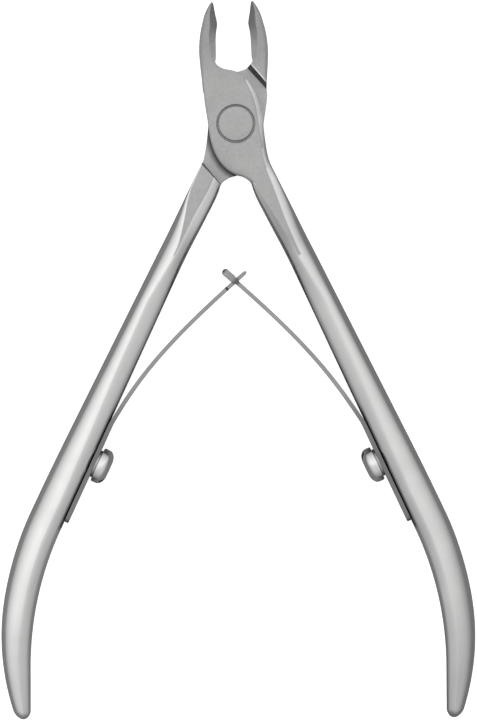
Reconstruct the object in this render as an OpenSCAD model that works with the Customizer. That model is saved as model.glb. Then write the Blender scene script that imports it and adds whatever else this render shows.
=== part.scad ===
// Cuticle nipper: two forged levers that cross in a lap joint, a flush rivet, and two leaf springs
// whose tips hook into each other. It lies flat: the jaws point along +Y, +Z is the front face, and
// the origin is on the rivet's axis, in the plane that the tool lies on.

/* [Joint] */
// Thickness of the joint from its back face to its front face
joint_thickness = 5.8; // [5.4:0.1:6.4]
// Gap left between the two lap faces
lap_gap = 0.04; // [0.02:0.01:0.1]
// Chamfer along the outer edges of the joint
joint_chamfer = 0.3; // [0.1:0.05:0.4]
// Angle through which the jaws close
closing_angle = 17.2; // [17:0.1:17.2]
// Angle by which the mouth is set off the line that halves the handles
mouth_skew = 1.5; // [0:0.1:1.6]

/* [Rivet] */
// Radius of the flush rivet heads
rivet_head_r = 2.75; // [2.4:0.05:2.8]
// Thickness of each rivet head
rivet_head_h = 1.1; // [0.8:0.1:1.4]
// Radius of the rivet's shank
rivet_shank_r = 1.75; // [1.2:0.05:2]
// Groove that shows round each rivet head
rivet_groove = 0.28; // [0.1:0.02:0.3]

/* [Handle] */
// Lean of the handle's outer edge from the jaw axis
outer_lean = 26.7; // [26.5:0.1:26.9]
// Radius of the outer edge's bend
outer_bend_r = 42; // [41:0.5:43]
// Lean of the handle's flat inner face
inner_lean = 24.9; // [24.7:0.1:25.1]
// Radius of the inner face's bend
inner_bend_r = 52; // [51:0.5:53]
// Half depth of the handle where the leaf spring sits on it
handle_half_depth = 2.72; // [2.5:0.01:2.8]
// How far the handle reaches below the rivet
handle_reach = 95; // [94.5:0.5:96]

/* [Springs] */
// Thickness of each leaf
leaf_t = 0.65; // [0.5:0.05:0.7]
// Thickness of the right leaf's end, round its slot
eye_t = 1.15; // [0.7:0.05:1.2]
// Width of a leaf at its foot
leaf_foot_w = 3.2; // [2.8:0.1:3.4]
// Width of a leaf near its tip
leaf_tip_w = 2.8; // [2.6:0.1:3]
// Length of the straight foot that lies on the handle
foot_length = 17; // [15:0.5:18]
// Width of the slot in the right leaf
slot_w = 1.5; // [1.4:0.1:1.6]
// Width of the tongue on the left leaf
tongue_w = 1; // [0.8:0.1:1.1]

/* [Spring screws] */
// Radius of the screw's round head
screw_head_r = 2.85; // [2.4:0.05:2.85]
// Height of the screw's round head
screw_head_h = 2.1; // [1.6:0.1:2.2]
// Radius of the screw's shank
screw_shank_r = 1.2; // [1:0.05:1.3]
// Depth of the screw's hole in the handle
screw_depth = 3.4; // [3:0.1:3.6]
// Radius of the washer under the head
washer_r = 2.3; // [2.1:0.05:2.4]
// Thickness of the washer
washer_t = 0.4; // [0.3:0.05:0.5]

/* [Hidden] */
$fn = 64;

t = joint_thickness / 2;        // half the joint's thickness
lap = lap_gap / 2;              // the lap face, measured from the middle plane
fit = 0.02;                     // running clearance on a radius
step = 0.04;                    // length over which a shoulder rises
bore_r = rivet_shank_r + fit;
counterbore_r = rivet_head_r + rivet_groove;

// ---- Lever: two rails, the right and left edges seen from the front -----------------------
// All of this is the front lever, with its handle on the right and its jaw on the left.
outer_c = [38 - outer_bend_r, -81];
outer_tangent = outer_c + outer_bend_r * [cos(outer_lean), sin(outer_lean)];
inner_c = [33.3 - inner_bend_r, -86.8];
inner_tangent = inner_c + inner_bend_r * [cos(inner_lean), sin(inner_lean)];
cut_angle = closing_angle / 2 + 0.05;   // from the jaw axis to a cutting edge

// Both edges of the handle, as x for a given y. The outer one is eased a little into its bend.
ease_depth = 0.38;
ease_y = -69;
ease_length = 10;
function outer_ease(y) = ease_depth * exp(-pow((y - ease_y) / ease_length, 2));
function outer_x(y) = -outer_ease(y) + (y > outer_tangent[1]
    ? outer_tangent[0] - (y - outer_tangent[1]) * tan(outer_lean)
    : outer_c[0] + sqrt(pow(outer_bend_r, 2) - pow(y - outer_c[1], 2)));
function inner_x(y) = y > inner_tangent[1]
    ? inner_tangent[0] - (y - inner_tangent[1]) * tan(inner_lean)
    : inner_c[0] + (y > inner_c[1] ? sqrt(pow(inner_bend_r, 2) - pow(y - inner_c[1], 2))
                                   : inner_bend_r);
function mix(a, b, f) = a + (b - a) * f;
function turned(p, a) = [p[0] * cos(a) - p[1] * sin(a), p[0] * sin(a) + p[1] * cos(a)];
function on_cut(r) = r * [-sin(cut_angle), cos(cut_angle)];

// Handle rings from the end up to the shank. The last few shrink to round the end off.
end_round = 1.5;
handle_ys = [for (s = [0.04, 0.35, 0.8]) -handle_reach + s * end_round,
             for (y = [-93.2, -90.5, -87.5, -84, -80.5, -77, -73.5, -70, -66.5, -62.5]) y,
             for (y = [-56, -48, -40, -33, -27, -22]) y];
function end_scale(y) = let(f = min(1, (y + handle_reach) / end_round)) sqrt(1 - pow(1 - f, 2));
function inner_drop(y) = 2.7 * min(1, (y + handle_reach) / 30) - 0.02 * max(0, y + 62.5);
// Half depth of the handle's crown: it rises above the joint's faces near the joint
function crown(y) = y < -60 ? mix(1.75, handle_half_depth, sin(90 * (y + handle_reach) / 35))
                  : y < -33 ? handle_half_depth
                  : handle_half_depth + 0.0008 * pow(y + 33, 2);

// A handle's section: round on the outside, slanted towards the flat where the spring lies.
// u runs from the inner to the outer edge.
crown_u = 0.56;
function d_section(u) = u > crown_u
    ? sqrt(max(0, 1 - pow((u - crown_u) / (1.02 - crown_u), 2)))
    : let(w = (crown_u - u) / crown_u) 1 - 0.42 * pow(w, 1.3) - 0.08 * pow(max(0, 4 * w - 3), 3);
handle_us = [0, 0.14, 0.35, 0.56, 0.72, 0.86, 0.96, 1];

function ring(left, right, us, front, back) =
    [for (k = [0 : len(us) - 1]) concat(mix(left, right, us[k]), [front[k]]),
     for (k = [len(us) - 1 : -1 : 0]) concat(mix(left, right, us[k]), [back[k]])];

function handle_ring(left, right, depth) =
    let(zs = [for (u = handle_us) min(t, depth * d_section(u))])
    ring(left, right, handle_us, zs, -zs);

function handle_ring_at(y) =
    let(shrink = end_scale(y),
        low = max(-handle_reach + 0.02, y - inner_drop(y)),
        left = [inner_x(low), low], right = [outer_x(y), y],
        middle = (left + right) / 2)
    handle_ring(mix(middle, left, shrink), mix(middle, right, shrink), crown(y) * shrink);

// Shank rings: [left edge, right edge, crown half depth]
shank = [[[7.6, -20.1], [11.3, -18], 2.88], [[5.5, -16.1], [9.3, -14], 3],
         [[3.5, -12.2], [7.4, -10.2], 3.4], [[2.6, -10], [6.15, -7.7], 4.6]];

// Lap plate rings: [left edge, right edge]
lower_shoulder = [[2.45, -9.5], [5.35, -6]];
upper_shoulder = [[-5.1, 5.5], [-2.1, 9]];
plate = [[[2, -8.95], [5.05, -4.9]], [[1, -8.35], [4.75, -3.2]], [[-0.1, -8.05], [4.65, -2.4]],
         [[-1.3, -7.35], [4.55, -1.6]], [[-2.4, -6.25], [4.5, -1]], [[-3.3, -4.75], [4.45, -0.4]],
         [[-3.95, -2.9], [4.4, 0.3]], [[-4.35, -0.75], [4.2, 1.4]], [[-4.55, 0.8], [3.8, 3]],
         [[-4.75, 2.1], [3.1, 4.9]], [[-4.95, 3.4], [1.9, 7]], [[-5.02, 4.1], [1.5, 7.65]],
         [[-5.07, 4.8], [-0.1, 8.35]]];

// Jaw rings: [outer edge, inner edge, half depth, bevel width, half depth of the inner edge]
jaw = [[[-5.2, 7.2], [-2.95, 9.9], 2.86, 0.4, 2.6], [[-5.4, 9.5], [-2.86, 11.2], 2.66, 0.9, 2],
       [[-5.5, 11.6], [-2.82, 12.6], 2.4, 1.05, 1.6], [[-5.4, 13.4], [-2.78, 14], 2.05, 1.1, 1.05],
       [[-5.2, 14.8], [-2.66, 15.1], 1.75, 1.15, 0.5], [[-5, 15.7], on_cut(16.3), 1.55, 1.2, 0.06],
       [[-4.45, 17.7], on_cut(18.1), 1.15, 0.85, 0.05], [[-3.8, 19], on_cut(19.25), 0.75, 0.45, 0.05],
       [[-3.35, 19.7], on_cut(19.8), 0.45, 0.2, 0.05]];

// A lap plate: its front edges are chamfered, and its back is the lap face
function plate_ring(left, right, back_z) =
    let(c = joint_chamfer, f = c / norm(right - left),
        us = [0, f, 0.25, 0.4, 0.6, 0.75, 1 - f, 1])
    ring(left, right, us, [t - c, t, t, t, t, t, t, t - c], [for (u = us) back_z]);

function jaw_ring(row, skew) =
    let(left = turned(row[0], skew), right = turned(row[1], skew), w = norm(right - left),
        h = row[2], b = row[3] / w, e = row[4], c = min(joint_chamfer, 0.2 * w, h / 2), f = c / w,
        us = [0, f, mix(f, 1 - b, 0.5), 1 - b, 1 - 0.75 * b, 1 - 0.5 * b, 1 - 0.25 * b, 1],
        zs = [h - c, h, h, h, mix(h, e, 0.25), mix(h, e, 0.5), mix(h, e, 0.75), e])
    ring(left, right, us, zs, -zs);

// The rest of the way up: shank, shoulder, plate, shoulder, jaw
function lever_rings(skew) =
    let(up = [for (p = upper_shoulder) turned(p, skew)])
    concat([for (y = handle_ys) handle_ring_at(y)],
           [for (s = shank) handle_ring(s[0], s[1], s[2])],
           [plate_ring(lower_shoulder[0] - [0, step], lower_shoulder[1] - [0, step], -t),
            plate_ring(lower_shoulder[0], lower_shoulder[1], lap)],
           [for (p = plate) plate_ring(p[0], p[1], lap)],
           [plate_ring(up[0], up[1], lap), plate_ring(up[0] + [0, step], up[1] + [0, step], -t)],
           [for (j = jaw) jaw_ring(j, skew)]);

// A closed solid through rings that all have the same number of points
module through(rings) {
    m = len(rings[0]);
    last = len(rings) - 1;
    sides = [for (i = [0 : last - 1], k = [0 : m - 1])
                let(a = i * m + k, b = i * m + (k + 1) % m)
                each [[a, b, b + m], [a, b + m, a + m]]];
    start = [for (k = [1 : m - 2]) [0, k + 1, k]];
    finish = [for (k = [1 : m - 2]) [last * m, last * m + k, last * m + k + 1]];
    polyhedron(points = [for (r = rings) each r], faces = concat(sides, start, finish));
}

// ---- Where the leaf spring sits on the handle's flat inner face ---------------------------
screw_y = -53.8;                      // height of the screw on the inner face
foot_top = 6.85;                      // from the screw up to the foot's end, where the leaf bends
seat = [inner_x(screw_y), screw_y];
up_face = [-sin(inner_lean), cos(inner_lean)];
off_face = [-cos(inner_lean), -sin(inner_lean)];
leaf_root = seat + foot_top * up_face + leaf_t / 2 * off_face;

// The spring seat's own frame: +Y along the face towards the joint, -X off the face
module at_seat() {
    translate([seat[0], seat[1], 0]) rotate([0, 0, inner_lean]) children();
}

// A cylinder that stands off the face, from one height above it to another
module off_seat(r, low, high) {
    translate([-low, 0, 0]) rotate([0, -90, 0]) cylinder(r = r, h = high - low);
}

module lever(skew) {
    difference() {
        through(lever_rings(skew));
        translate([0, 0, -t]) cylinder(r = bore_r, h = 3 * t);
        translate([0, 0, t - rivet_head_h]) cylinder(r = counterbore_r, h = rivet_head_h + t);
        at_seat() off_seat(screw_shank_r + fit, -screw_depth, 1);
    }
}

// ---- Leaf springs -------------------------------------------------------------------------
hook = [0, -25.2];                   // where the two leaves cross
hook_lean = 48.5;                    // lean of a leaf there
along_hook = [-sin(hook_lean), cos(hook_lean)];
root_lean = inner_lean + 8.4;        // lean of a leaf as it leaves its foot: free of the handle when shut
leaving = [-sin(root_lean), cos(root_lean)];
root_pull = 8;                       // how long the leaf keeps the direction that it leaves in
hook_pull = 16;                      // how long it keeps the tip's direction
leaf_steps = 14;
tongue_out = 2.3;                    // the left leaf's tongue past the crossing
eye_out = 2.9;                       // the right leaf's end past the crossing
slot_half = 1.9;                     // half the slot's length
shoulder_back = 1.8;                 // where the tongue begins, before the crossing

function bezier(a, b, c, d, f) =
    pow(1 - f, 3) * a + 3 * f * pow(1 - f, 2) * b + 3 * f * f * (1 - f) * c + pow(f, 3) * d;
function leaf_line(out) =
    concat([for (i = [0 : leaf_steps])
               bezier(leaf_root, leaf_root + root_pull * leaving, hook - hook_pull * along_hook,
                      hook, i / leaf_steps)],
           [hook + 0.9 * along_hook, hook + out * along_hook]);

// The leaf's edge line given its thickness, which changes to end_t past the crossing
module leaf_profile(out, end_t) {
    p = leaf_line(out);
    n = len(p);
    dirs = [for (i = [0 : n - 1]) let(d = p[min(i + 1, n - 1)] - p[max(i - 1, 0)]) d / norm(d)];
    side = [for (i = [0 : n - 1])
               (i < n - 2 ? leaf_t : end_t) / 2
               * (i == 0 ? [-leaving[1], leaving[0]] : [-dirs[i][1], dirs[i][0]])];
    polygon([for (i = [0 : n - 1]) p[i] + side[i], for (i = [n - 1 : -1 : 0]) p[i] - side[i]]);
}

// The crossing's own frame: +Y along the right leaf towards its end, -X across its thickness
module at_hook() {
    translate([hook[0], hook[1], 0]) rotate([0, 0, hook_lean]) children();
}

// A plate shape drawn flat on the leaf, given as [distance along it, half width]
module leaf_face(rows) {
    rotate([0, 90, 0]) linear_extrude(height = 30, center = true)
        polygon([for (r = rows) [-r[1], r[0]],
                 for (i = [len(rows) - 1 : -1 : 0]) [rows[i][1], rows[i][0]]]);
}

module leaf_arm(out, end_t, rows) {
    intersection() {
        linear_extrude(height = leaf_foot_w, center = true) leaf_profile(out, end_t);
        at_hook() leaf_face(rows);
    }
    translate([leaf_root[0], leaf_root[1], 0])
        cylinder(r = leaf_t / 2, h = leaf_foot_w - 0.02, center = true);
}

root_back = -34;                     // past the root end, in the crossing's frame
taper_end = -4;                      // where the leaf has narrowed to its tip's width

module right_leaf_arm() {
    difference() {
        leaf_arm(eye_out, eye_t,
                 [[root_back, leaf_foot_w / 2], [taper_end, leaf_tip_w / 2],
                  [eye_out - 0.9, leaf_tip_w / 2], [eye_out - 0.3, leaf_tip_w / 2 - 0.35],
                  [eye_out + 0.1, leaf_tip_w / 2 - 1]]);
        at_hook() rotate([0, 90, 0]) linear_extrude(height = 4, center = true) hull() {
            translate([0, slot_half - slot_w / 2]) circle(r = slot_w / 2, $fn = 32);
            translate([0, slot_w / 2 - slot_half]) circle(r = slot_w / 2, $fn = 32);
        }
    }
}

module left_leaf_arm() {
    leaf_arm(tongue_out, leaf_t,
             [[root_back, leaf_foot_w / 2], [taper_end, leaf_tip_w / 2],
              [-shoulder_back, leaf_tip_w / 2], [-shoulder_back + 0.1, tongue_w / 2],
              [tongue_out - 0.3, tongue_w / 2], [tongue_out + 0.1, tongue_w / 2 - 0.3]]);
}

module leaf_foot() {
    bottom = foot_top - 0.35 - foot_length;
    at_seat() difference() {
        translate([-leaf_t, bottom, -leaf_foot_w / 2])
            cube([leaf_t, foot_length, leaf_foot_w]);
        off_seat(screw_shank_r + 0.15, -1, 2);
    }
}

// ---- Fasteners ----------------------------------------------------------------------------
module rivet() {
    cylinder(r = rivet_shank_r, h = 2 * t - 2 * rivet_head_h + 0.1, center = true);
    for (s = [-1, 1]) translate([0, 0, s * (t - (rivet_head_h - fit) / 2)])
        cylinder(r = rivet_head_r, h = rivet_head_h - fit, center = true);
}

head_low = leaf_t + washer_t;
slot_depth = 0.8;
screw_slot_w = 0.7;

module spring_screw() {
    at_seat() difference() {
        union() {
            off_seat(screw_shank_r, 0.2 - screw_depth, head_low + 0.1);
            translate([-head_low, 0, 0]) rotate([0, -90, 0]) rotate_extrude() polygon(
                [[0, 0], [screw_head_r - 0.15, 0], [screw_head_r, 0.15],
                 [screw_head_r, 0.45 * screw_head_h], [0.93 * screw_head_r, 0.68 * screw_head_h],
                 [0.78 * screw_head_r, 0.86 * screw_head_h], [0.5 * screw_head_r, screw_head_h],
                 [0, screw_head_h]]);
        }
        translate([-head_low - screw_head_h, 0, 0])
            cube([2 * slot_depth, screw_slot_w, 3 * screw_head_r], center = true);
    }
}

module screw_washer() {
    at_seat() difference() {
        off_seat(washer_r, leaf_t, head_low);
        off_seat(screw_shank_r + 0.1, 0, 2);
    }
}

// ---- Placing: everything on the left or the back is the right or front part turned over ----
module lift() { translate([0, 0, t]) children(); }
module turned_over() { rotate([0, 180, 0]) children(); }

module front_lever() { color("gainsboro") lift() lever(mouth_skew); }
module back_lever() { color("lightgray") lift() turned_over() lever(-mouth_skew); }
module pivot_rivet() { color("silver") lift() rivet(); }
module right_spring_foot() { color("darkgray") lift() leaf_foot(); }
module left_spring_foot() { color("darkgray") lift() turned_over() leaf_foot(); }
module right_spring_arm() { color("darkgray") lift() right_leaf_arm(); }
module left_spring_arm() { color("darkgray") lift() turned_over() left_leaf_arm(); }
module right_spring_screw() { color("gray") lift() spring_screw(); }
module left_spring_screw() { color("gray") lift() turned_over() spring_screw(); }
module right_screw_washer() { color("dimgray") lift() screw_washer(); }
module left_screw_washer() { color("dimgray") lift() turned_over() screw_washer(); }

front_lever();
back_lever();
pivot_rivet();
right_spring_foot();
right_spring_arm();
left_spring_foot();
left_spring_arm();
right_spring_screw();
left_spring_screw();
right_screw_washer();
left_screw_washer();
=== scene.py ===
import math

import bmesh
import bpy
import numpy as np
from mathutils import Matrix, Vector


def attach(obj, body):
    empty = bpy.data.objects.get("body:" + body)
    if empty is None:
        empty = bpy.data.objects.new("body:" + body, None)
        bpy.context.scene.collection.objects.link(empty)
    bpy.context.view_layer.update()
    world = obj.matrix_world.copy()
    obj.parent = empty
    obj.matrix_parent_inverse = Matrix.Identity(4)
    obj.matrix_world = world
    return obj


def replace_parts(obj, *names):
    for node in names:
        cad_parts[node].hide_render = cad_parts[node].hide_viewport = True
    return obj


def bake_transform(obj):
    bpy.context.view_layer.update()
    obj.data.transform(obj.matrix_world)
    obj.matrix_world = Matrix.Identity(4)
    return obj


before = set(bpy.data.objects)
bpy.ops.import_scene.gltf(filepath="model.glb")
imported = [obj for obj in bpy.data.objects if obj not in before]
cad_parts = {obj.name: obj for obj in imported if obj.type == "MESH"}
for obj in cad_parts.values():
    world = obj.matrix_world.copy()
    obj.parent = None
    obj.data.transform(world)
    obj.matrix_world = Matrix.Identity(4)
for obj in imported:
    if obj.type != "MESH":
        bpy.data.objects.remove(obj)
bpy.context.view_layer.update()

MM = 0.001

# ---- Dimensions of the tool, in mm, in the lever's own frame: its middle plane is z = 0 -------
T = 2.9                      # half the joint's thickness
LAP = 0.02                   # lap face above the middle plane
SKEW = 1.5                   # degrees by which the mouth is off the middle line
CUT = 8.75                   # degrees from the jaw axis to a cutting edge
# The handle's outer and inner edge: an arc's radius and centre, and the straight part's lean
OUTER_R, OUTER_LEAN, OUTER_C = 42.0, 26.7, (38.0 - 42.0, -81.0)
INNER_R, INNER_LEAN, INNER_C = 52.0, 24.9, (33.3 - 52.0, -86.8)
REACH = 95.0                 # from the rivet's axis to the handle's end
END_ROUND = 1.5              # length over which the handle's end is rounded


def rad(a):
    return a * math.pi / 180


def rail_x(y, centre, radius, lean, straight_below):
    """An edge of the handle: an arc below, and a straight line above it."""
    ty = centre[1] + radius * math.sin(rad(lean))
    tx = centre[0] + radius * math.cos(rad(lean))
    if y > ty:
        return tx - (y - ty) * math.tan(rad(lean))
    if straight_below and y < centre[1]:
        return centre[0] + radius
    return centre[0] + math.sqrt(radius**2 - (y - centre[1]) ** 2)


def outer_x(y):
    """The handle's outer edge, drawn in by up to 0.38 mm about y = -69."""
    return rail_x(y, OUTER_C, OUTER_R, OUTER_LEAN, False) - 0.38 * math.exp(-((y + 69) / 10) ** 2)


def inner_x(y):
    return rail_x(y, INNER_C, INNER_R, INNER_LEAN, True)


def turned(p, a):
    """The point p, turned by a degrees about the rivet's axis."""
    c, s = math.cos(rad(a)), math.sin(rad(a))
    return np.array([p[0] * c - p[1] * s, p[0] * s + p[1] * c])


def on_cut(r):
    """The cutting edge's point at the distance r from the rivet's axis."""
    return np.array([-r * math.sin(rad(CUT)), r * math.cos(rad(CUT))])


def mix(a, b, f):
    return a + (b - a) * f


def smooth(f):
    f = min(1.0, max(0.0, f))
    return f * f * (3 - 2 * f)


def mesh_object(name, bm):
    """Makes an object of the scene from a bmesh, and frees the bmesh."""
    me = bpy.data.meshes.new(name)
    bm.to_mesh(me)
    bm.free()
    ob = bpy.data.objects.new(name, me)
    bpy.context.collection.objects.link(ob)
    return ob


# ---- Levers ----------------------------------------------------------------------------------
# A lever is lofted through rows. A row has a left and a right edge point and two profiles, front
# and back. A profile is an array of (u, z): a left strip, a flat and a right strip, each with a
# fixed number of points, so that the edges between strips line up from row to row.
N_LEFT, N_FLAT, N_RIGHT = 14, 5, 14      # points
N = N_LEFT + N_FLAT + N_RIGHT


def spread(lo, hi):
    """Places across a row, crowded towards its edges, for a flat from lo to hi."""
    us = [lo * (1 - math.cos(math.pi / 2 * k / (N_LEFT - 1))) for k in range(N_LEFT)]
    us += [mix(lo, hi, (k + 1) / (N_FLAT + 1)) for k in range(N_FLAT)]
    return us + [mix(hi, 1.0, math.sin(math.pi / 2 * k / (N_RIGHT - 1))) for k in range(N_RIGHT)]


def flat_profile(width, half, left, right):
    """A flat with a strip on each side. A strip is (width, drop, power): power 1 is a chamfer."""
    lo, hi = left[0] / width, 1 - right[0] / width
    out = []
    for u in spread(lo, hi):
        z = half
        if u < lo:
            z -= left[1] * (1 - u / lo) ** left[2]
        if u > hi:
            z -= right[1] * (1 - (1 - u) / (1 - hi)) ** right[2]
        out.append((u, z))
    return np.array(out)


def domed_profile(top, lo, hi, inner_drop, outer_drop, inner_power):
    """The handle's section: slanted below lo, flat from lo to hi, round above hi.

    The drops are the parts of the half depth that are lost at the inner and the outer edge, and
    the power says how slowly the slant begins.
    """
    if hi - lo < 0.02:
        lo, hi = (lo + hi) / 2 - 0.01, (lo + hi) / 2 + 0.01
    out = []
    for u in spread(lo, hi):
        z = top
        if u < lo:
            w = (lo - u) / lo
            z -= top * (inner_drop * w**inner_power + 0.09 * max(0.0, 3 * w - 2) ** 2)
        if u > hi:
            z -= top * outer_drop * (1 - math.sqrt(max(0.0, 1 - ((u - hi) / (1 - hi)) ** 2)))
        out.append((u, z))
    return np.array(out)


def row(left, right, front, back):
    return [np.array(left, float), np.array(right, float), front, back]


def crown_at(y):
    """The crown's height above the middle plane: lower at the handle's end, higher at the joint."""
    if y < -68:
        return 2.72 - 1.2 * ((-68 - y) / 27) ** 1.6
    return 2.72 + (0.0008 * (y + 33) ** 2 if y > -33 else 0.0)


# Near the joint a ground flat grows out of the handle's crown. For each FLAT_Y on the outer edge:
# where the flat begins and ends across the handle, the drops at the inner and the outer edge, and
# the slant's power.
FLAT_Y = (-95, -86, -76, -58, -48, -38, -27, -20.5, -18, -16, -14.5, -13, -11, -9)
CROWN_U = (0.45, 0.44, 0.37, 0.35, 0.41, 0.50, 0.56)
EVEN = (1,) * 7
FRONT_FLAT = (CROWN_U + (0.395, 0.37, 0.33, 0.30, 0.27, 0.22, 0.16),
              CROWN_U + (0.40, 0.43, 0.47, 0.50, 0.55, 0.63, 0.69),
              (0.42,) * 7 + (0.40, 0.40, 0.38, 0.34, 0.30, 0.24, 0.16),
              EVEN + (1, 0.95, 0.80, 0.62, 0.46, 0.32, 0.24),
              (1.3,) * 7 + (1.25, 1.15, 1.05, 1, 1, 1, 1))
BACK_FLAT = (CROWN_U + (0.395, 0.38, 0.40, 0.41, 0.40, 0.38, 0.34),
             CROWN_U + (0.40, 0.44, 0.56, 0.66, 0.78, 0.94, 0.96),
             (0.42,) * 7 + (0.40, 0.38, 0.33, 0.28, 0.26, 0.25, 0.24),
             EVEN + (1, 0.95, 0.85, 0.70, 0.45, 0.12, 0.06),
             (1.3,) * 14)


def handle_profiles(top, y):
    return [domed_profile(top, *(float(np.interp(y, FLAT_Y, row_)) for row_ in table))
            for table in (FRONT_FLAT, BACK_FLAT)]


def handle_rows():
    """Rows from the rounded end to the shank. The drop keeps each about square to the handle."""
    rows = []
    ys = [-REACH + END_ROUND * (1 - math.cos(math.pi / 2 * k / 12)) + 0.0005 for k in range(1, 12)]
    y = ys[-1] + 0.25
    while y < -20.5:
        ys.append(y)
        y += 0.8
    for y in ys:
        f = min(1.0, (y + REACH) / END_ROUND)
        shrink = math.sqrt(max(0.0, 1 - (1 - f) ** 2))
        drop = 2.7 * min(1, (y + REACH) / 30) - 0.02 * max(0, y + 62.5)
        low = max(-REACH + 0.02, y - drop)
        left, right = np.array([inner_x(low), low]), np.array([outer_x(y), y])
        m = (left + right) / 2
        crown = crown_at(y) * shrink
        rows.append(row(mix(m, left, shrink), mix(m, right, shrink),
                        *handle_profiles(min(T, crown), y)))
    return rows


# Key rows above the handle, each with a left and a right edge point. SHANK adds the crown's height.
# JAW adds the half thickness, the bevel's width and the half thickness at the cutting edge.
SHANK = [([7.6, -20.1], [11.3, -18], 2.88), ([6.55, -18.1], [10.3, -16], 2.93),
         ([5.5, -16.1], [9.3, -14], 3.0), ([4.5, -14.15], [8.35, -12.1], 3.09),
         ([3.5, -12.2], [7.4, -10.2], 3.22), ([2.85, -10.7], [6.7, -8.8], 3.4)]
LOWER = ([2.45, -9.5], [5.35, -6])
UPPER = ([-5.1, 5.5], [-2.1, 9])
PLATE = [([2, -8.95], [5.05, -4.9]), ([1, -8.35], [4.75, -3.2]), ([-0.1, -8.05], [4.65, -2.4]),
         ([-1.3, -7.35], [4.55, -1.6]), ([-2.4, -6.25], [4.5, -1]), ([-3.3, -4.75], [4.45, -0.4]),
         ([-3.95, -2.9], [4.4, 0.3]), ([-4.35, -0.75], [4.2, 1.4]), ([-4.55, 0.8], [3.8, 3]),
         ([-4.75, 2.1], [3.1, 4.9]), ([-4.95, 3.4], [1.9, 7]), ([-5.02, 4.1], [1.5, 7.65]),
         ([-5.07, 4.8], [-0.1, 8.35])]
JAW = [([-5.2, 7.2], [-2.95, 9.9], 2.86, 0.4, 2.6), ([-5.4, 9.5], [-2.86, 11.2], 2.66, 0.9, 2),
       ([-5.5, 11.6], [-2.82, 12.6], 2.4, 1.05, 1.6), ([-5.4, 13.4], [-2.78, 14], 2.05, 1.1, 1.05),
       ([-5.2, 14.8], [-2.66, 15.1], 1.75, 1.15, 0.5), ([-5, 15.7], on_cut(16.3), 1.55, 1.2, 0.06),
       ([-4.45, 17.7], on_cut(18.1), 1.15, 0.85, 0.05),
       ([-3.8, 19], on_cut(19.25), 0.75, 0.45, 0.05),
       ([-3.35, 19.7], on_cut(19.8), 0.45, 0.2, 0.05)]


def curved(rows, steps):
    """Fills in rows between key rows, with the edges on Catmull-Rom curves."""
    out = []
    for i in range(len(rows) - 1):
        a, b = rows[i], rows[i + 1]
        before, after = rows[max(i - 1, 0)], rows[min(i + 2, len(rows) - 1)]
        for k in range(steps):
            f = k / steps
            r = [mix(x, y, f) for x, y in zip(a, b)]
            for side in (0, 1):
                p0, p1, p2, p3 = before[side], a[side], b[side], after[side]
                d01, d12, d23 = (max(1e-6, np.linalg.norm(q - p)) ** 0.5
                                 for p, q in ((p0, p1), (p1, p2), (p2, p3)))
                m1 = m2 = p2 - p1
                if i > 0:
                    m1 = ((p1 - p0) / d01 - (p2 - p0) / (d01 + d12) + (p2 - p1) / d12) * d12
                if i < len(rows) - 2:
                    m2 = ((p2 - p1) / d12 - (p3 - p1) / (d12 + d23) + (p3 - p2) / d23) * d12
                f2, f3 = f * f, f * f * f
                r[side] = ((2 * f3 - 3 * f2 + 1) * p1 + (f3 - 2 * f2 + f) * m1
                           + (3 * f2 - 2 * f3) * p2 + (f3 - f2) * m2)
            out.append(r)
    out.append(rows[-1])
    return out


STEPS = 6                    # dense rows from one key row to the next
UP_LEAN, LOW_LEAN = 3, 1     # dense rows over which a shoulder's wall rises
RIM_DROP = 0.05              # how far the edge above the jaw's wall lies below the jaw's back
LAP_FACE = np.array([(k / (N - 1), -LAP) for k in range(N)])


def plate_chamfer(k):
    """The right edge's chamfer on the plate's key row k, as (width, drop, power)."""
    if k < 7:
        return mix(1.3, 1.5, k / 6), mix(0.6, 0.5, k / 6), 2
    if k < 11:
        return mix(1.4, 0.7, (k - 7) / 3), mix(0.5, 0.26, (k - 7) / 3), 1.8
    return 0.12, 0.08, 1.2


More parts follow.
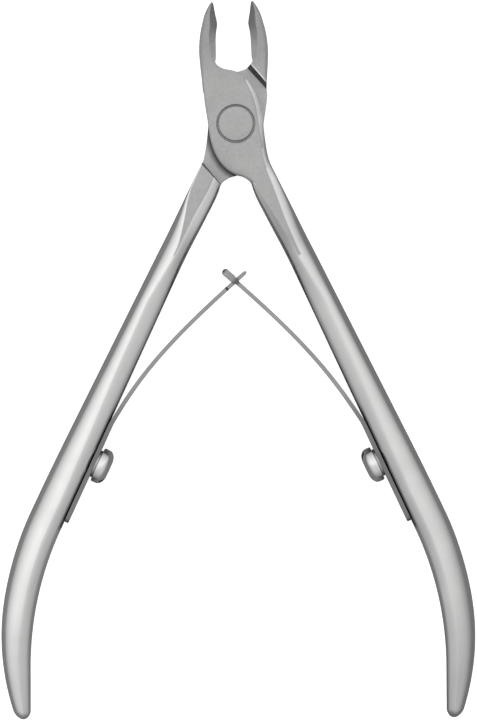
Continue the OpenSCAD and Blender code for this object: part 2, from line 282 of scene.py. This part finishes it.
def lever_rows(skew):
    """Rows from the handle's end to the jaw's tip, each with the zone that it starts."""
    handle = handle_rows()
    keys = handle[-2:]
    for left, right, crown in SHANK:
        keys.append(row(left, right, *handle_profiles(min(T, crown), right[1])))
    left, right = np.array(LOWER[0]), np.array(LOWER[1])
    w = float(np.linalg.norm(right - left))
    keys.append(row(left, right, flat_profile(w, T, (0.5, 0.3, 1.5), (1.2, 0.6, 2)),
                    flat_profile(w, T, (1.5, 0.7, 1.5), (0.12, 0.06, 1.2))))
    lower = len(keys) - 1
    for k, (left, right) in enumerate(PLATE):
        w = float(np.linalg.norm(np.subtract(right, left)))
        front = flat_profile(w, T, (0.28, 0.14, 1.2), plate_chamfer(k))
        keys.append(row(left, right, front, LAP_FACE))
    up_l, up_r = (turned(p, skew) for p in UPPER)
    w = float(np.linalg.norm(up_r - up_l))
    upper_flat = flat_profile(w, T, (0.5, 0.2, 1.5), (0.12, 0.08, 1.2))
    keys.append(row(up_l, up_r, upper_flat, upper_flat))
    upper = len(keys) - 1
    for left, right, half, bevel, edge in JAW:
        left, right = turned(left, skew), turned(right, skew)
        w = float(np.linalg.norm(right - left))
        c = min(0.7, 0.28 * w)
        p = flat_profile(w, half, (c, 0.32 * c, 1.6), (min(bevel, 0.66 * w), half - edge, 1.0))
        keys.append(row(left, right, p, p))
    dense = curved(keys, STEPS)
    lo_i, up_i = lower * STEPS, upper * STEPS
    rows = [(r, "handle") for r in handle[:-1]]
    for i, r in enumerate(dense[1:], 1):
        if lo_i - LOW_LEAN < i < lo_i or up_i < i < up_i + UP_LEAN:
            continue                     # the shoulder's wall leans across these rows
        back, zone = r[3], "jaw" if i > up_i else "shank" if i > STEPS else "handle"
        if i == lo_i - LOW_LEAN:
            zone = "shoulder"
        elif lo_i <= i <= up_i:
            back, zone = LAP_FACE, "plate" if i < up_i else "shoulder"
        elif i == up_i + UP_LEAN:
            back, zone = np.array([(u, z - RIM_DROP) for u, z in back]), "rim"
        rows.append(([*r[:3], back], zone))
    return rows


def ring(r):
    """A row's points, once round: along the front from left to right, and back behind."""
    left, right, front, back = r
    pts = [(*mix(left, right, u), z) for u, z in front]
    return pts + [(*mix(left, right, u), -z) for u, z in back[::-1]]


# WALL faces take the shoulder's near-black steel, which is painted shade.
POLISHED, SATIN, GROUND, CHAMFER, RECESS, WALL = range(6)
FLAT_FIRST, FLAT_END = N_LEFT - 1, N_LEFT + N_FLAT       # faces across a row that make its flat


def face_steel(r, zone, k, satin_strip):
    """The steel of face k round a row's ring.

    The first satin_strip faces of the plate's right chamfer are as satin as the plate's flat.
    """
    behind, wall = k >= N, k in (N - 1, 2 * N - 1)
    across = 2 * N - 2 - k if behind else k
    if zone in ("handle", "shank"):
        # the handle's flat, once it is wide and high enough to show
        p = r[3] if behind else r[2]
        wide = p[FLAT_END][0] - p[FLAT_FIRST][0] > 0.03 and p[FLAT_FIRST][1] > T - 0.06
        end = FLAT_END if behind else FLAT_END + 1
        return SATIN if wide and not wall and FLAT_FIRST <= across < end else POLISHED
    if zone == "jaw":
        bevel = not wall and across >= FLAT_END
        return GROUND if bevel or k == N - 1 else SATIN
    if behind:
        # the shoulder's wall gets near-black steel: painted shade
        return {"shoulder": WALL, "rim": CHAMFER, "plate": RECESS}[zone]
    return CHAMFER if across >= FLAT_END + satin_strip or k == N - 1 else SATIN


# Where the steel's tone is darkened, in mm along y: painted shade on the strip under the
# spring's foot and how softly it begins and ends, painted shade at the handle's end, and a
# darker tone towards the jaws. LOBE_SHADE_OVER is the distance from the other lever's lobe over
# which its painted shade fades.
SEAT_SHADE_Y, SEAT_SHADE_SOFT = (-64.9, -47), (0.6, 3)
END_SHADE_FROM, END_SHADE_OVER = -74, 17
JAW_SHADE_FROM, JAW_SHADE_OVER = 5, 7
LOBE_SHADE_OVER = 1.2


def lever_mesh(name, skew, flip):
    """A lever as one closed mesh. Flip turns it over, which makes the back lever."""
    rows = lever_rows(skew)
    rings = [ring(r) for r, _ in rows]
    n = len(rings[0])
    bm = bmesh.new()
    sign = -1 if flip else 1
    verts = [[bm.verts.new((sign * p[0] * MM, p[1] * MM, (sign * p[2] + T) * MM)) for p in rg]
             for rg in rings]
    first_plate = [zone for _, zone in rows].index("plate")
    for i, (r, zone) in enumerate(rows[:-1]):
        satin_strip = 2 if i < first_plate + 2 * STEPS else 4
        for k in range(n):
            k2 = (k + 1) % n
            f = bm.faces.new((verts[i][k], verts[i][k2], verts[i + 1][k2], verts[i + 1][k]))
            f.material_index = face_steel(r, zone, k, satin_strip)
    bm.faces.new(list(reversed(verts[0]))).material_index = POLISHED
    bm.faces.new(verts[-1]).material_index = GROUND
    bmesh.ops.recalc_face_normals(bm, faces=bm.faces)
    # Attributes that the steels read: painted shade beside the other lever's lobe, under the
    # spring's foot and towards the handle's end, and a darker tone towards the jaws.
    corner = bm.verts.layers.float.new("corner")
    seat = bm.verts.layers.float.new("seat")
    jaw = bm.verts.layers.float.new("jaw")
    lobe = lobe_edge(sign)
    # the back lever's handle gets less of the painted shade towards its end, as it stands in
    # brighter light
    end_share = 0.4 if flip else 1.0
    for v in bm.verts:
        p = np.array((v.co.x, v.co.y)) / MM
        x, y = sign * p[0], p[1]
        v[jaw] = smooth((y - JAW_SHADE_FROM) / JAW_SHADE_OVER)
        # painted shade: the spring foot's contact shadow, and darker towards the handle's end
        v[seat] = max(seat_shade(x, y), end_share * end_shade(x, y))
        # painted shade on the recessed face beside the other lever's lobe
        v[corner] = 1 - smooth(float(np.linalg.norm(lobe - p, axis=1).min()) / LOBE_SHADE_OVER)
    return mesh_object(name, bm)


def seat_shade(x, y):
    """Painted contact shadow: 1 where the spring's foot touches the handle's inner edge, fading out
    over half a mm.
    """
    inside = (x - inner_x(y)) * math.cos(rad(INNER_LEAN))
    along = (smooth((y - SEAT_SHADE_Y[0]) / SEAT_SHADE_SOFT[0])
             * (1 - smooth((y - SEAT_SHADE_Y[1]) / SEAT_SHADE_SOFT[1])))
    return along * (1 - smooth((inside - 0.12) / 0.5))


def end_shade(x, y):
    """Painted shade that grows towards the handle's lower end, most of all along its inner side."""
    inward = (outer_x(y) - x) / (outer_x(y) - inner_x(y))
    return smooth((END_SHADE_FROM - y) / END_SHADE_OVER) * mix(0.08, 0.36, smooth(1.4 * inward))


def lobe_edge(sign):
    """The left edge of the other lever's lobe, beside which shade is painted, as dense points."""
    keys = np.array([left for left, _ in PLATE[:9]])
    pts = np.concatenate([[mix(a, b, f) for f in np.linspace(0, 1, 12)]
                          for a, b in zip(keys, keys[1:])])
    return pts * (-sign, 1)


def lathe(name, points, steps, matrix):
    """A surface of revolution about z through the points (r, z) in mm, placed by the matrix."""
    bm = bmesh.new()
    circles = []
    for r, z in points:
        if r < 1e-9:
            circles.append([bm.verts.new((0, 0, z * MM))])
        else:
            circles.append([bm.verts.new((r * math.cos(2 * math.pi * k / steps) * MM,
                                          r * math.sin(2 * math.pi * k / steps) * MM, z * MM))
                            for k in range(steps)])
    for a, b in zip(circles, circles[1:]):
        for k in range(steps):
            k2 = (k + 1) % steps
            quad = [a[k % len(a)], a[k2 % len(a)], b[k2 % len(b)], b[k % len(b)]]
            quad = [v for j, v in enumerate(quad) if v not in quad[:j]]    # a pole comes twice
            bm.faces.new(quad)
    bmesh.ops.recalc_face_normals(bm, faces=bm.faces)
    bm.transform(matrix)
    return mesh_object(name, bm)


def block(name, size, matrix):
    """A box of this size in mm, its middle at the matrix's origin."""
    bm = bmesh.new()
    bmesh.ops.create_cube(bm, size=1.0)
    bm.transform(matrix @ Matrix.Diagonal((size[0] * MM, size[1] * MM, size[2] * MM, 1)))
    return mesh_object(name, bm)


def cut(ob, tool):
    """Takes tool away from ob for good."""
    m = ob.modifiers.new("cut", "BOOLEAN")
    m.operation, m.solver, m.object = "DIFFERENCE", "EXACT", tool
    dg = bpy.context.evaluated_depsgraph_get()
    me = bpy.data.meshes.new_from_object(ob.evaluated_get(dg))
    ob.modifiers.clear()
    old, ob.data = ob.data, me
    me.name = old.name
    bpy.data.meshes.remove(old)
    data = tool.data
    bpy.data.objects.remove(tool)
    bpy.data.meshes.remove(data)


def shade(ob, angle):
    """Smooth shading, with creases where faces meet at more than the angle."""
    for p in ob.data.polygons:
        p.use_smooth = True
    ob.data.set_sharp_from_angle(angle=rad(angle))


def paint(ob, *materials):
    for m in materials:
        ob.data.materials.append(m)


def round_edges(ob, width, segments):
    """Rounds the edges at which faces meet at more than 50 degrees."""
    m = ob.modifiers.new("edges", "BEVEL")
    m.width, m.segments, m.limit_method, m.angle_limit = width * MM, segments, "ANGLE", rad(50)


# ---- Materials -------------------------------------------------------------------------------
class Nodes:
    """A material with a Principled shader, and short ways to add to its node tree."""

    def __init__(self, name):
        self.material = bpy.data.materials.new(name)
        self.material.use_nodes = True
        self.tree = self.material.node_tree
        self.tree.nodes.clear()
        self.out = self.tree.nodes.new("ShaderNodeOutputMaterial")
        self.shader = self.tree.nodes.new("ShaderNodeBsdfPrincipled")
        self.tree.links.new(self.shader.outputs[0], self.out.inputs[0])
        self.where = self.tree.nodes.new("ShaderNodeTexCoord").outputs["Object"]

    def add(self, kind, **values):
        node = self.tree.nodes.new(kind)
        for key, value in values.items():
            if hasattr(node, key):
                setattr(node, key, value)
            else:
                node.inputs[key.replace("_", " ")].default_value = value
        return node

    def link(self, a, b):
        self.tree.links.new(a, b)

    def noise(self, scale, stretch=(1, 1, 1), turn=0.0, detail=3.0):
        m = self.add("ShaderNodeMapping")
        m.inputs["Rotation"].default_value = (0, 0, rad(turn))
        m.inputs["Scale"].default_value = stretch
        self.link(self.where, m.inputs["Vector"])
        t = self.add("ShaderNodeTexNoise", Scale=scale, Detail=detail, Roughness=0.6)
        self.link(m.outputs[0], t.inputs["Vector"])
        return t.outputs["Fac"]

    def ramp(self, value, low, high, frm=0.3, to=0.7):
        """Maps the range from frm to to onto the range from low to high."""
        m = self.add("ShaderNodeMapRange")
        m.inputs["From Min"].default_value, m.inputs["From Max"].default_value = frm, to
        m.inputs["To Min"].default_value, m.inputs["To Max"].default_value = low, high
        self.link(value, m.inputs["Value"])
        return m.outputs["Result"]

    def maths(self, operation, a, b):
        m = self.add("ShaderNodeMath", operation=operation)
        self.link(a, m.inputs[0])
        self.link(b, m.inputs[1])
        return m.outputs[0]

    def tone(self, value):
        """Sets the base colour: a grey of this value, very slightly warm."""
        c = self.add("ShaderNodeCombineColor")
        for channel, share in (("Red", 1.0), ("Green", 0.998), ("Blue", 0.992)):
            m = self.add("ShaderNodeMath", operation="MULTIPLY")
            self.link(value, m.inputs[0])
            m.inputs[1].default_value = share
            self.link(m.outputs[0], c.inputs[channel])
        self.link(c.outputs[0], self.shader.inputs["Base Color"])

    def bump(self, value, distance, strength):
        b = self.add("ShaderNodeBump", Strength=strength, Distance=distance)
        self.link(value, b.inputs["Height"])
        self.link(b.outputs["Normal"], self.shader.inputs["Normal"])


def steel(name, base, spread, rough, rough_spread, grain, stretch, turn, depth, strength,
          mottle=0.0, corner=0.0, attribute="corner"):
    """Steel whose grain, tone and gloss all vary a little over the surface.

    Base and spread set its tone, and rough and rough_spread its roughness. Grain is the grain's
    scale, stretch and turn its direction, depth and strength its relief. Mottle is the tone's
    change over half a millimetre, and corner how much the tone drops where the named attribute
    of the mesh is 1.
    """
    n = Nodes(name)
    n.shader.inputs["Metallic"].default_value = 1.0
    fine = n.noise(grain, stretch, turn)
    wide = n.noise(180, detail=2.0)
    tone = n.ramp(wide, base - spread, base + spread)
    if mottle:
        tone = n.maths("ADD", tone, n.ramp(n.noise(2300, detail=2.0), -mottle, mottle))
    if corner:
        here = n.add("ShaderNodeAttribute", attribute_name=attribute)
        keep = n.ramp(here.outputs["Fac"], 1.0, 1.0 - corner, 0.0, 1.0)
        tone = n.maths("MULTIPLY", tone, keep)
    n.tone(tone)
    n.link(n.ramp(fine, rough - rough_spread, rough + rough_spread), n.shader.inputs["Roughness"])
    n.bump(fine, depth, strength)
    return n.material


# Both handle steels darken with painted shade from the mesh's attribute. The back lever's steel is
# a lighter copy of the front's: painted light, for the brighter light on that handle.
FRONT_HANDLE = steel("polished_steel", 0.60, 0.02, 0.19, 0.03, 2600, (1, 0.12, 1), 25, 3e-6, 0.3,
                     corner=0.85, attribute="seat")
BACK_HANDLE_PAINTED_LIGHT = steel("polished_steel_back_painted_light", 0.68, 0.02, 0.19, 0.03, 2600, (1, 0.12, 1), -25, 3e-6,
                    0.3, corner=0.85, attribute="seat")
FLAT = steel("satin_steel", 0.375, 0.015, 0.38, 0.05, 5200, (1, 0.5, 1), 0, 12e-6, 0.7, 0.022,
             0.22, "jaw")
BEVEL = steel("ground_steel", 0.44, 0.02, 0.34, 0.05, 5000, (0.15, 1, 1), 10, 8e-6, 0.5, 0.03)
EDGE = steel("edge_steel", 0.60, 0.02, 0.24, 0.03, 4000, (1, 0.3, 1), 15, 4e-6, 0.3)
# The recess steel darkens with the painted shade beside the other lever's lobe.
INSIDE = steel("recess_steel", 0.38, 0.02, 0.40, 0.05, 5200, (1, 1, 1), 0, 10e-6, 0.5, 0.02, 0.8)
# Near-black steel for the shoulder's wall: painted shade.
SHOULDER_PAINTED_SHADE = steel("shoulder_painted_shade", 0.13, 0.01, 0.45, 0.05, 4000, (1, 1, 1), 0, 8e-6, 0.5)
# The spring steel darkens with the painted shade at its foot and where it crosses the other leaf.
LEAF = steel("spring_steel", 0.28, 0.02, 0.30, 0.05, 3800, (0.15, 1, 1), 45, 6e-6, 0.4,
             corner=0.8, attribute="seat")
SCREW = steel("screw_steel", 0.66, 0.03, 0.17, 0.03, 4200, (1, 1, 1), 0, 5e-6, 0.3)
WASHER = steel("washer_steel", 0.40, 0.03, 0.30, 0.04, 4200, (1, 1, 1), 0, 5e-6, 0.3)

# ---- Levers and rivet ------------------------------------------------------------------------
RIVET_R, RIVET_H = 2.75, 1.1             # the rivet's heads
BORE_R, COUNTER_R = 1.78, 3.03           # the bore and the counterbore round a head


def rivet_hole(side):
    """The tool that cuts the bore and the chamfered counterbore; side is 1 in front, -1 behind."""
    pts = [(0, -side * 4), (BORE_R, -side * 4), (BORE_R, side * (T - RIVET_H)),
           (COUNTER_R, side * (T - RIVET_H)), (COUNTER_R, side * (T - 0.1)),
           (COUNTER_R + 0.12, side * (T + 0.01)), (COUNTER_R + 0.12, side * 4), (0, side * 4)]
    return lathe("hole", pts, 96, Matrix.Translation((0, 0, T * MM)))


def make_lever(name, skew, flip, body):
    """A lever with its bore and counterbore cut, their walls in the recess's steel."""
    ob = lever_mesh(name, skew, flip)
    steels = (BACK_HANDLE_PAINTED_LIGHT if flip else FRONT_HANDLE, FLAT, BEVEL, EDGE, INSIDE, SHOULDER_PAINTED_SHADE)
    paint(ob, *steels)
    hole = rivet_hole(-1 if flip else 1)
    paint(hole, *steels)
    for p in hole.data.polygons:
        p.material_index = RECESS
    cut(ob, hole)
    shade(ob, 24)
    ob.modifiers.new("normals", "WEIGHTED_NORMAL").keep_sharp = True
    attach(ob, body)
    return ob


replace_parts(make_lever("front_lever_forging", SKEW, False, "front"), "front_lever")
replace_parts(make_lever("back_lever_forging", -SKEW, True, "back"), "back_lever")

half_rivet = [(1.75, T - RIVET_H + 0.05), (RIVET_R, T - RIVET_H + 0.05), (RIVET_R, T - 0.08),
              (RIVET_R - 0.03, T - 0.04), (RIVET_R - 0.1, T - 0.01), (RIVET_R - 0.2, T - 0.002),
              (1.6, T - 0.001), (0, T)]
rivet = lathe("rivet", [(r, -z) for r, z in reversed(half_rivet)] + half_rivet, 96,
              Matrix.Translation((0, 0, T * MM)))
shade(rivet, 40)
paint(rivet, FLAT)
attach(rivet, "front")
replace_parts(rivet, "pivot_rivet")

# ---- Springs, in the right one's frame ---------------------------------------------------------
# The seat is the place on the handle's face where the screw enters. From there, UP runs along the
# face to the joint, and OFF out of the face.
SCREW_Y = -53.8
SEAT = Vector((inner_x(SCREW_Y), SCREW_Y, 0))
UP = np.array([-math.sin(rad(INNER_LEAN)), math.cos(rad(INNER_LEAN))])
OFF = np.array([-math.cos(rad(INNER_LEAN)), -math.sin(rad(INNER_LEAN))])
LEAF_T, FOOT_W, TIP_W = 0.65, 3.2, 2.8
FOOT_TOP, FOOT_LEN = 6.85, 17.35         # from the seat to the foot's upper end, and the whole foot
SCREW_HOLE_R = 1.35
SLOT_W, SLOT_HALF, TONGUE_W, TONGUE_FROM = 1.5, 1.9, 1.0, 1.8
# Where each leaf crosses the other, and its lean from the y axis as it leaves its foot, by whether
# it is the right one. The left leaf keeps a little closer to its handle.
HOOKS = {True: np.array([0.0, -25.2]), False: np.array([0.18, -25.04])}
LEAVING_LEAN = {True: INNER_LEAN + 8.4, False: INNER_LEAN + 6}
HOOK_LEAN = 48.5             # a leaf's lean where it crosses the other
LEAVING_PULL, HOOK_PULL = 8, 16          # how far the curve holds its direction at each end
PAST_HOOK = {True: 2.9, False: 2.3}      # length beyond the crossing
EYE_T = 1.15                 # thickness of the right leaf's end
ALONG = np.array([-math.sin(rad(HOOK_LEAN)), math.cos(rad(HOOK_LEAN))])
ROOT = np.array(SEAT[:2]) + FOOT_TOP * UP + LEAF_T / 2 * OFF


def side_matrix(right):
    """Right parts stay; left parts are the right ones turned over. Both are lifted."""
    turn = Matrix.Identity(4) if right else Matrix.Rotation(math.pi, 4, "Y")
    return Matrix.Translation((0, 0, T * MM)) @ turn


def seat_matrix(right):
    """Puts a part that is drawn along z onto the seat, with z out of the handle's face."""
    place = Matrix.Translation(SEAT * MM) @ Matrix.Rotation(rad(INNER_LEAN), 4, "Z")
    return side_matrix(right) @ place @ Matrix.Rotation(-math.pi / 2, 4, "Y")


def leaf_line(right):
    """Dense centre line from the foot's lower end to the tip, with its running length."""
    hook, lean = HOOKS[right], rad(LEAVING_LEAN[right])
    leaving = np.array([-math.sin(lean), math.cos(lean)])
    p0, p1, p2, p3 = ROOT, ROOT + LEAVING_PULL * leaving, hook - HOOK_PULL * ALONG, hook
    pts = [ROOT - f * FOOT_LEN * UP for f in np.linspace(1, 0, 14)[:-1]]
    for f in np.linspace(0, 1, 60):
        pts.append((1 - f) ** 3 * p0 + 3 * f * (1 - f) ** 2 * p1 + 3 * f * f * (1 - f) * p2
                   + f**3 * p3)
    pts += [hook + f * PAST_HOOK[right] * ALONG for f in np.linspace(0, 1, 10)[1:]]
    pts = np.array(pts)
    run = np.concatenate([[0], np.cumsum(np.linalg.norm(np.diff(pts, axis=0), axis=1))])
    return pts, run


def at_run(s, run, values):
    """The pair of values at the running length s."""
    return np.array([np.interp(s, run, values[:, 0]), np.interp(s, run, values[:, 1])])


def arc(cx, cy, r, a0, a1, steps):
    angles = [rad(mix(a0, a1, i / steps)) for i in range(steps + 1)]
    return [(cx + r * math.cos(a), cy + r * math.sin(a)) for a in angles]


def leaf_loops(right, cross, total):
    """The unbent leaf's outline, its screw hole and its slot, as loops of (run, across)."""
    w0, w1 = FOOT_W / 2 - 0.01, TIP_W / 2 - 0.01
    side = arc(0.7, w0 - 0.7, 0.7, 180, 90, 6) + [(FOOT_LEN, w0), (cross - 4, w1)]
    if right:
        side += arc(total - 0.9, w1 - 0.9, 0.9, 90, 0, 8)
    else:
        h, start = TONGUE_W / 2 - 0.02, cross - TONGUE_FROM
        side += (arc(start - 0.5, w1 - 0.5, 0.5, 90, 0, 5) + [(start, h + 0.25)]
                 + arc(start + 0.25, h + 0.25, 0.25, 180, 270, 4)[1:]
                 + arc(total - 0.3, h - 0.3, 0.3, 90, 0, 5))
    loops = [side + [(s, -w) for s, w in reversed(side)],
             arc(FOOT_LEN - FOOT_TOP, 0, SCREW_HOLE_R, 0, 360, 32)[:-1]]
    if right:
        half, r = SLOT_HALF - SLOT_W / 2, SLOT_W / 2 + 0.01
        loops.append(arc(cross + half, 0, r, -90, 90, 10) + arc(cross - half, 0, r, 90, 270, 10))
    return loops


def leaf_strip(loops, total):
    """The unbent leaf, LEAF_T thick, cut across every half mm so that it can bend."""
    bm = bmesh.new()
    edges = []
    for loop in loops:
        vs = [bm.verts.new((s, w, 0)) for s, w in loop]
        edges += [bm.edges.new((vs[i], vs[(i + 1) % len(vs)])) for i in range(len(vs))]
    bmesh.ops.triangle_fill(bm, edges=edges, use_beauty=True)
    for s in np.arange(0.5, total, 0.5):
        geom = bm.verts[:] + bm.edges[:] + bm.faces[:]
        bmesh.ops.bisect_plane(bm, geom=geom, plane_co=(s, 0, 0), plane_no=(1, 0, 0), dist=1e-5)
    top = bmesh.ops.extrude_face_region(bm, geom=bm.faces[:])
    lifted = [v for v in top["geom"] if isinstance(v, bmesh.types.BMVert)]
    for v in bm.verts:
        v.co.z = -LEAF_T / 2
    for v in lifted:
        v.co.z = LEAF_T / 2
    bmesh.ops.recalc_face_normals(bm, faces=bm.faces)
    return bm


def leaf(name, right):
    """One strip with its slot or tongue, bent along its centre line."""
    pts, run = leaf_line(right)
    total, cross = run[-1], run[-1] - PAST_HOOK[right]
    bm = leaf_strip(leaf_loops(right, cross, total), total)

    def thicken(s):
        """The share of LEAF_T at the running length s: the eye is thick and the tip thin."""
        rest = max(0.0, s - (total - 0.5)) / 0.5
        end = EYE_T / LEAF_T if right else 1.0
        return mix(1.0, end, smooth((s - cross) / 0.9)) * math.sqrt(max(0.04, 1 - rest * rest))

    def shadow(s):
        """The foot's shade, which fades out along the arm, and the one at the crossing."""
        return max(0.475 * (1 - smooth((s - (FOOT_LEN - 1)) / 9)),
                   0.9 * (1 - smooth((abs(s - cross) - 0.1) / 0.6)))

    tangent = np.gradient(pts, run, axis=0)
    tangent /= np.linalg.norm(tangent, axis=1)[:, None]
    seat = bm.verts.layers.float.new("seat")
    for v in bm.verts:
        s, w, h = v.co
        # painted shade: at the foot and at the crossing
        v[seat] = shadow(s)
        t = at_run(s, run, tangent)
        t /= np.linalg.norm(t)
        h *= thicken(s)
        p = at_run(s, run, pts) + h * np.array([-t[1], t[0]])
        v.co = (p[0] * MM, p[1] * MM, w * MM)
    bm.transform(side_matrix(right))
    bmesh.ops.recalc_face_normals(bm, faces=bm.faces)
    ob = mesh_object(name, bm)
    round_edges(ob, 0.22, 3)
    shade(ob, 40)
    paint(ob, LEAF)
    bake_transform(ob)
    return ob


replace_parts(leaf("right_leaf_spring", True),
            "right_spring_foot", "right_spring_arm")
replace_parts(leaf("left_leaf_spring", False),
            "left_spring_foot", "left_spring_arm")

# ---- Screws and washers, about the seat's normal ---------------------------------------------
HEAD_R, HEAD_H, WASHER_R, WASHER_T = 2.85, 2.1, 2.3, 0.4
SHANK_R, SHANK_DEPTH, HOLE_R = 1.19, 3.2, 1.3
SLOT_TURN = 62               # degrees by which a screw's slot is turned out of the view
LOW = LEAF_T + WASHER_T      # the head's underside


def screw_profile():
    """Half of the screw's section as [(r, z)]: shank, straight rim and rounded top."""
    rim = LOW + 0.42 * HEAD_H
    pts = [(0, -SHANK_DEPTH), (SHANK_R, -SHANK_DEPTH), (SHANK_R, LOW), (HEAD_R - 0.2, LOW),
           (HEAD_R - 0.06, LOW + 0.05), (HEAD_R, LOW + 0.2), (HEAD_R, rim)]
    for k in range(1, 11):
        a = math.pi / 2 * k / 10
        pts.append((0.4 * HEAD_R + 0.6 * HEAD_R * math.cos(a), rim + 0.56 * HEAD_H * math.sin(a)))
    return pts + [(0, LOW + HEAD_H - 0.01)]


def washer_profile():
    """The washer's section as [(r, z)], closed on itself, with a broken outer edge."""
    base = LEAF_T + 0.01
    return [(HOLE_R, base), (WASHER_R - 0.08, base), (WASHER_R, LEAF_T + 0.09),
            (WASHER_R, LOW - 0.09), (WASHER_R - 0.08, LOW - 0.01), (HOLE_R, LOW - 0.01),
            (HOLE_R, base)]


def join_ends(ob):
    """Closes a lathed ring, whose first and last circle are the same."""
    bm = bmesh.new()
    bm.from_mesh(ob.data)
    bmesh.ops.remove_doubles(bm, verts=bm.verts, dist=1e-7)
    bmesh.ops.recalc_face_normals(bm, faces=bm.faces)
    bm.to_mesh(ob.data)
    bm.free()


for right, side, body in ((True, "right", "front"), (False, "left", "back")):
    place = seat_matrix(right)
    screw = lathe(side + "_screw", screw_profile(), 72, place)
    slot_at = (Matrix.Translation((0, 0, (LOW + HEAD_H) * MM))
               @ Matrix.Rotation(rad(SLOT_TURN), 4, "Z"))
    cut(screw, block("slot", (7, 0.7, 1.6), place @ slot_at))
    round_edges(screw, 0.06, 2)
    shade(screw, 35)
    paint(screw, SCREW)
    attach(screw, body)
    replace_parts(screw, side + "_spring_screw")
    washer = lathe(side + "_washer", washer_profile(), 72, place)
    join_ends(washer)
    shade(washer, 35)
    paint(washer, WASHER)
    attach(washer, body)
    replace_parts(washer, side + "_screw_washer")

# ---- Floor, light and camera ------------------------------------------------------------------
# Light Path nodes are on the floor and in the world only, so that the studio looks white to the
# camera and has its own tones in the steel's reflections.
def floor_material():
    material = bpy.data.materials.new("floor")
    material.use_nodes = True
    nodes, link = material.node_tree.nodes, material.node_tree.links.new
    nodes.clear()
    out = nodes.new("ShaderNodeOutputMaterial")
    path = nodes.new("ShaderNodeLightPath")
    pale, dark = nodes.new("ShaderNodeBsdfDiffuse"), nodes.new("ShaderNodeBsdfDiffuse")
    pale.inputs["Color"].default_value = (0.86, 0.86, 0.86, 1)
    dark.inputs["Color"].default_value = (0.30, 0.30, 0.30, 1)
    glow = nodes.new("ShaderNodeEmission")
    glow.inputs["Strength"].default_value = 0.75
    lit, both = nodes.new("ShaderNodeAddShader"), nodes.new("ShaderNodeMixShader")
    link(pale.outputs[0], lit.inputs[0])
    link(glow.outputs[0], lit.inputs[1])
    link(path.outputs["Is Glossy Ray"], both.inputs["Fac"])
    link(lit.outputs[0], both.inputs[1])
    link(dark.outputs[0], both.inputs[2])
    link(both.outputs[0], out.inputs[0])
    return material


# Brightness by height above the horizon, for the world's dim side and for its bright side
DIM_SIDE = ((0.0, 0.28), (0.14, 0.40), (0.42, 0.58), (0.65, 0.75), (0.84, 0.86), (1.0, 0.94))
BRIGHT_SIDE = ((0.0, 0.36), (0.14, 0.60), (0.42, 0.88), (0.65, 1.08), (0.84, 1.24), (1.0, 1.38))
BRIGHT_TOWARDS = (-0.3, 0.9, 0)          # the jaws, and a little to the left
SIDE_BLEND = 0.25            # half the width over which one side turns into the other
BACKDROP = 0.95              # what the camera sees past the floor


def studio_world():
    world = bpy.data.worlds.new("studio")
    world.use_nodes = True
    nodes, link = world.node_tree.nodes, world.node_tree.links.new
    nodes.clear()
    out = nodes.new("ShaderNodeOutputWorld")
    coord = nodes.new("ShaderNodeTexCoord")
    apart = nodes.new("ShaderNodeSeparateXYZ")
    link(coord.outputs["Generated"], apart.inputs[0])
    sides = nodes.new("ShaderNodeMix")
    sides.data_type = "RGBA"
    for stops, socket in ((DIM_SIDE, "A"), (BRIGHT_SIDE, "B")):
        ramp = nodes.new("ShaderNodeValToRGB")
        while len(ramp.color_ramp.elements) < len(stops):
            ramp.color_ramp.elements.new(0.5)
        for e, (pos, v) in zip(ramp.color_ramp.elements, stops):
            e.position, e.color = pos, (v, v, v, 1)
        link(apart.outputs["Z"], ramp.inputs["Fac"])
        link(ramp.outputs["Color"], sides.inputs[socket])
    facing = nodes.new("ShaderNodeVectorMath")
    facing.operation = "DOT_PRODUCT"
    facing.inputs[1].default_value = BRIGHT_TOWARDS
    link(coord.outputs["Generated"], facing.inputs[0])
    across = nodes.new("ShaderNodeMapRange")
    across.interpolation_type = "SMOOTHSTEP"
    across.inputs["From Min"].default_value = -SIDE_BLEND
    across.inputs["From Max"].default_value = SIDE_BLEND
    link(facing.outputs["Value"], across.inputs["Value"])
    link(across.outputs["Result"], sides.inputs["Factor"])
    light, seen = nodes.new("ShaderNodeBackground"), nodes.new("ShaderNodeBackground")
    link(sides.outputs["Result"], light.inputs["Color"])
    seen.inputs["Color"].default_value = (BACKDROP, BACKDROP, BACKDROP, 1)
    pick = nodes.new("ShaderNodeMixShader")
    path = nodes.new("ShaderNodeLightPath")
    link(path.outputs["Is Camera Ray"], pick.inputs["Fac"])
    link(light.outputs[0], pick.inputs[1])
    link(seen.outputs[0], pick.inputs[2])
    link(pick.outputs[0], out.inputs["Surface"])
    return world


me = bpy.data.meshes.new("floor")
me.from_pydata([(-3, -3, 0), (3, -3, 0), (3, 3, 0), (-3, 3, 0)], [], [(0, 1, 2, 3)])
floor = bpy.data.objects.new("floor", me)
bpy.context.collection.objects.link(floor)
floor.location.z = -0.0002
paint(floor, floor_material())
bpy.context.scene.world = studio_world()

LENS, SENSOR = 200.0, 36.0
FIELD = 115.2                # mm of the object's middle plane over the picture's height
AIM = (0.24, -37.66)         # mm: the point of the object in the middle of the picture
ROLL = -0.283                # degrees
camera = bpy.data.objects.new("camera", bpy.data.cameras.new("camera"))
bpy.context.collection.objects.link(camera)
camera.data.lens, camera.data.sensor_width = LENS, SENSOR
camera.location = (AIM[0] * MM, AIM[1] * MM, (T + FIELD * LENS / SENSOR) * MM)
camera.rotation_euler = (0, 0, rad(ROLL))
bpy.context.scene.camera = camera
bpy.context.scene.view_settings.view_transform = "Standard"
